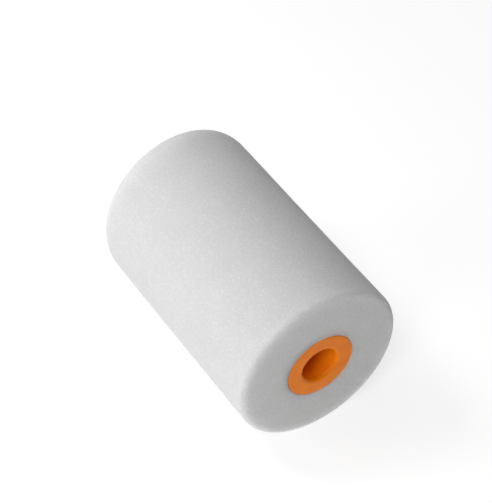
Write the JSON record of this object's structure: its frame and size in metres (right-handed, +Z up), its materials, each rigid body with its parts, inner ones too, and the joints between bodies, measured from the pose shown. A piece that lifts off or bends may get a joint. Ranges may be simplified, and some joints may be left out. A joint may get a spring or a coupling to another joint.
{
  "type": "mini foam paint roller refill",
  "caption": "Small foam paint roller refill: a fine foam sleeve on a plastic core, a flanged axle bush in the open end and a closed cap with snap fingers in the other.",
  "frame": {"origin": "on the roller's axis, halfway along the foam sleeve; the roller lies on its side, so its lowest line is at z = -0.0175", "axes": "the roller turns about Y; -Y points out of the open end, where the axle bush is, and +Y out of the closed, rounded end; +Z is up"},
  "size_m": [0.035, 0.055, 0.035],
  "materials": {
    "foam": "matte",
    "core_plastic": "satin",
    "bush_plastic": "satin"
  },
  "bodies": {
    "sleeve": {"foam_sleeve": "foam", "core_tube": "core_plastic", "front_bush": "bush_plastic", "rear_cap": "bush_plastic"},
    "finger_1": {"snap_finger_1": "bush_plastic"},
    "finger_2": {"snap_finger_2": "bush_plastic"},
    "finger_3": {"snap_finger_3": "bush_plastic"},
    "finger_4": {"snap_finger_4": "bush_plastic"}
  },
  "joints": [
    {"name": "finger_1_flex", "type": "hinge", "parent": "sleeve", "child": "finger_1", "pos_m": [0.00373, 0.0258, 0], "axis": [0, 0, 1], "range_deg": [0, 4.5], "stiffness_Nm_per_rad": 0.15},
    {"name": "finger_2_flex", "type": "hinge", "parent": "sleeve", "child": "finger_2", "pos_m": [0, 0.0258, 0.00373], "axis": [-1, 0, 0], "range_deg": [0, 4.5], "stiffness_Nm_per_rad": 0.15},
    {"name": "finger_3_flex", "type": "hinge", "parent": "sleeve", "child": "finger_3", "pos_m": [-0.00373, 0.0258, 0], "axis": [0, 0, -1], "range_deg": [0, 4.5], "stiffness_Nm_per_rad": 0.15},
    {"name": "finger_4_flex", "type": "hinge", "parent": "sleeve", "child": "finger_4", "pos_m": [0, 0.0258, -0.00373], "axis": [1, 0, 0], "range_deg": [0, 4.5], "stiffness_Nm_per_rad": 0.15}
  ]
}
